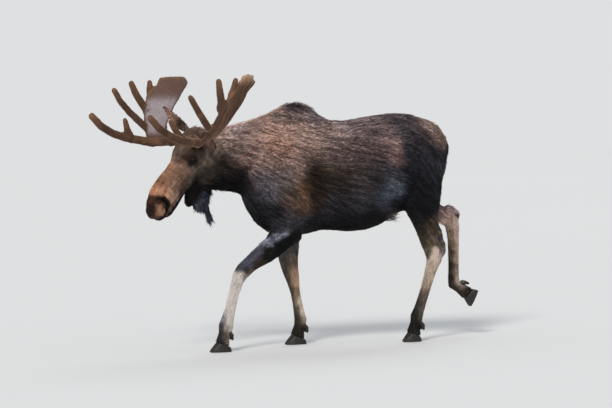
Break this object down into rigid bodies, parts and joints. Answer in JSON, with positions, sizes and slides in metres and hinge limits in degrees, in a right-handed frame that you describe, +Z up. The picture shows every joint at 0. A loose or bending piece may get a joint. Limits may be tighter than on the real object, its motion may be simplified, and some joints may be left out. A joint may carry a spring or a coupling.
{
  "type": "moose",
  "caption": "Life-size bull moose, walking with a hind foot raised, antlers in velvet, long muzzle turned to its left and a bell hanging under the throat; a still display figure.",
  "frame": {"origin": "on the floor, under the middle of the box round the whole animal", "axes": "+X towards the tail, +Y towards the animal's right side, +Z up; the animal faces -X and its head is turned to its left, -Y"},
  "size_m": [3.0498, 1.1754, 2.112],
  "materials": {
    "coat": "short dark brown summer coat, black on the chest and belly",
    "face": "short reddish brown hair",
    "shank": "short pale grey and tan hair",
    "velvet": "fine brown velvet over growing antler",
    "horn": "dull black horn",
    "eye": "wet, very dark brown"
  },
  "bodies": {
    "root": {"antler_left_beam": "velvet", "antler_left_brow": "velvet", "antler_left_palm": "velvet", "antler_right_beam": "velvet", "antler_right_brow": "velvet", "antler_right_palm": "velvet", "bell": "coat", "ear_left": "face", "ear_right": "face", "eye_left": "eye", "eye_right": "eye", "head": "face", "hoof_fore_left_claw_left": "horn", "hoof_fore_left_claw_right": "horn", "hoof_fore_left_dewclaw_left": "horn", "hoof_fore_left_dewclaw_right": "horn", "hoof_fore_right_claw_left": "horn", "hoof_fore_right_claw_right": "horn", "hoof_fore_right_dewclaw_left": "horn", "hoof_fore_right_dewclaw_right": "horn", "hoof_hind_left_claw_left": "horn", "hoof_hind_left_claw_right": "horn", "hoof_hind_left_dewclaw_left": "horn", "hoof_hind_left_dewclaw_right": "horn", "hoof_hind_right_claw_left": "horn", "hoof_hind_right_claw_right": "horn", "hoof_hind_right_dewclaw_left": "horn", "hoof_hind_right_dewclaw_right": "horn", "leg_fore_left_cannon": "shank", "leg_fore_left_forearm": "coat", "leg_fore_left_pastern": "shank", "leg_fore_right_cannon": "shank", "leg_fore_right_forearm": "coat", "leg_fore_right_pastern": "shank", "leg_hind_left_cannon": "shank", "leg_hind_left_gaskin": "coat", "leg_hind_left_pastern": "shank", "leg_hind_right_cannon": "shank", "leg_hind_right_gaskin": "coat", "leg_hind_right_pastern": "shank", "neck": "coat", "tail": "coat", "trunk": "coat"}
  },
  "joints": []
}
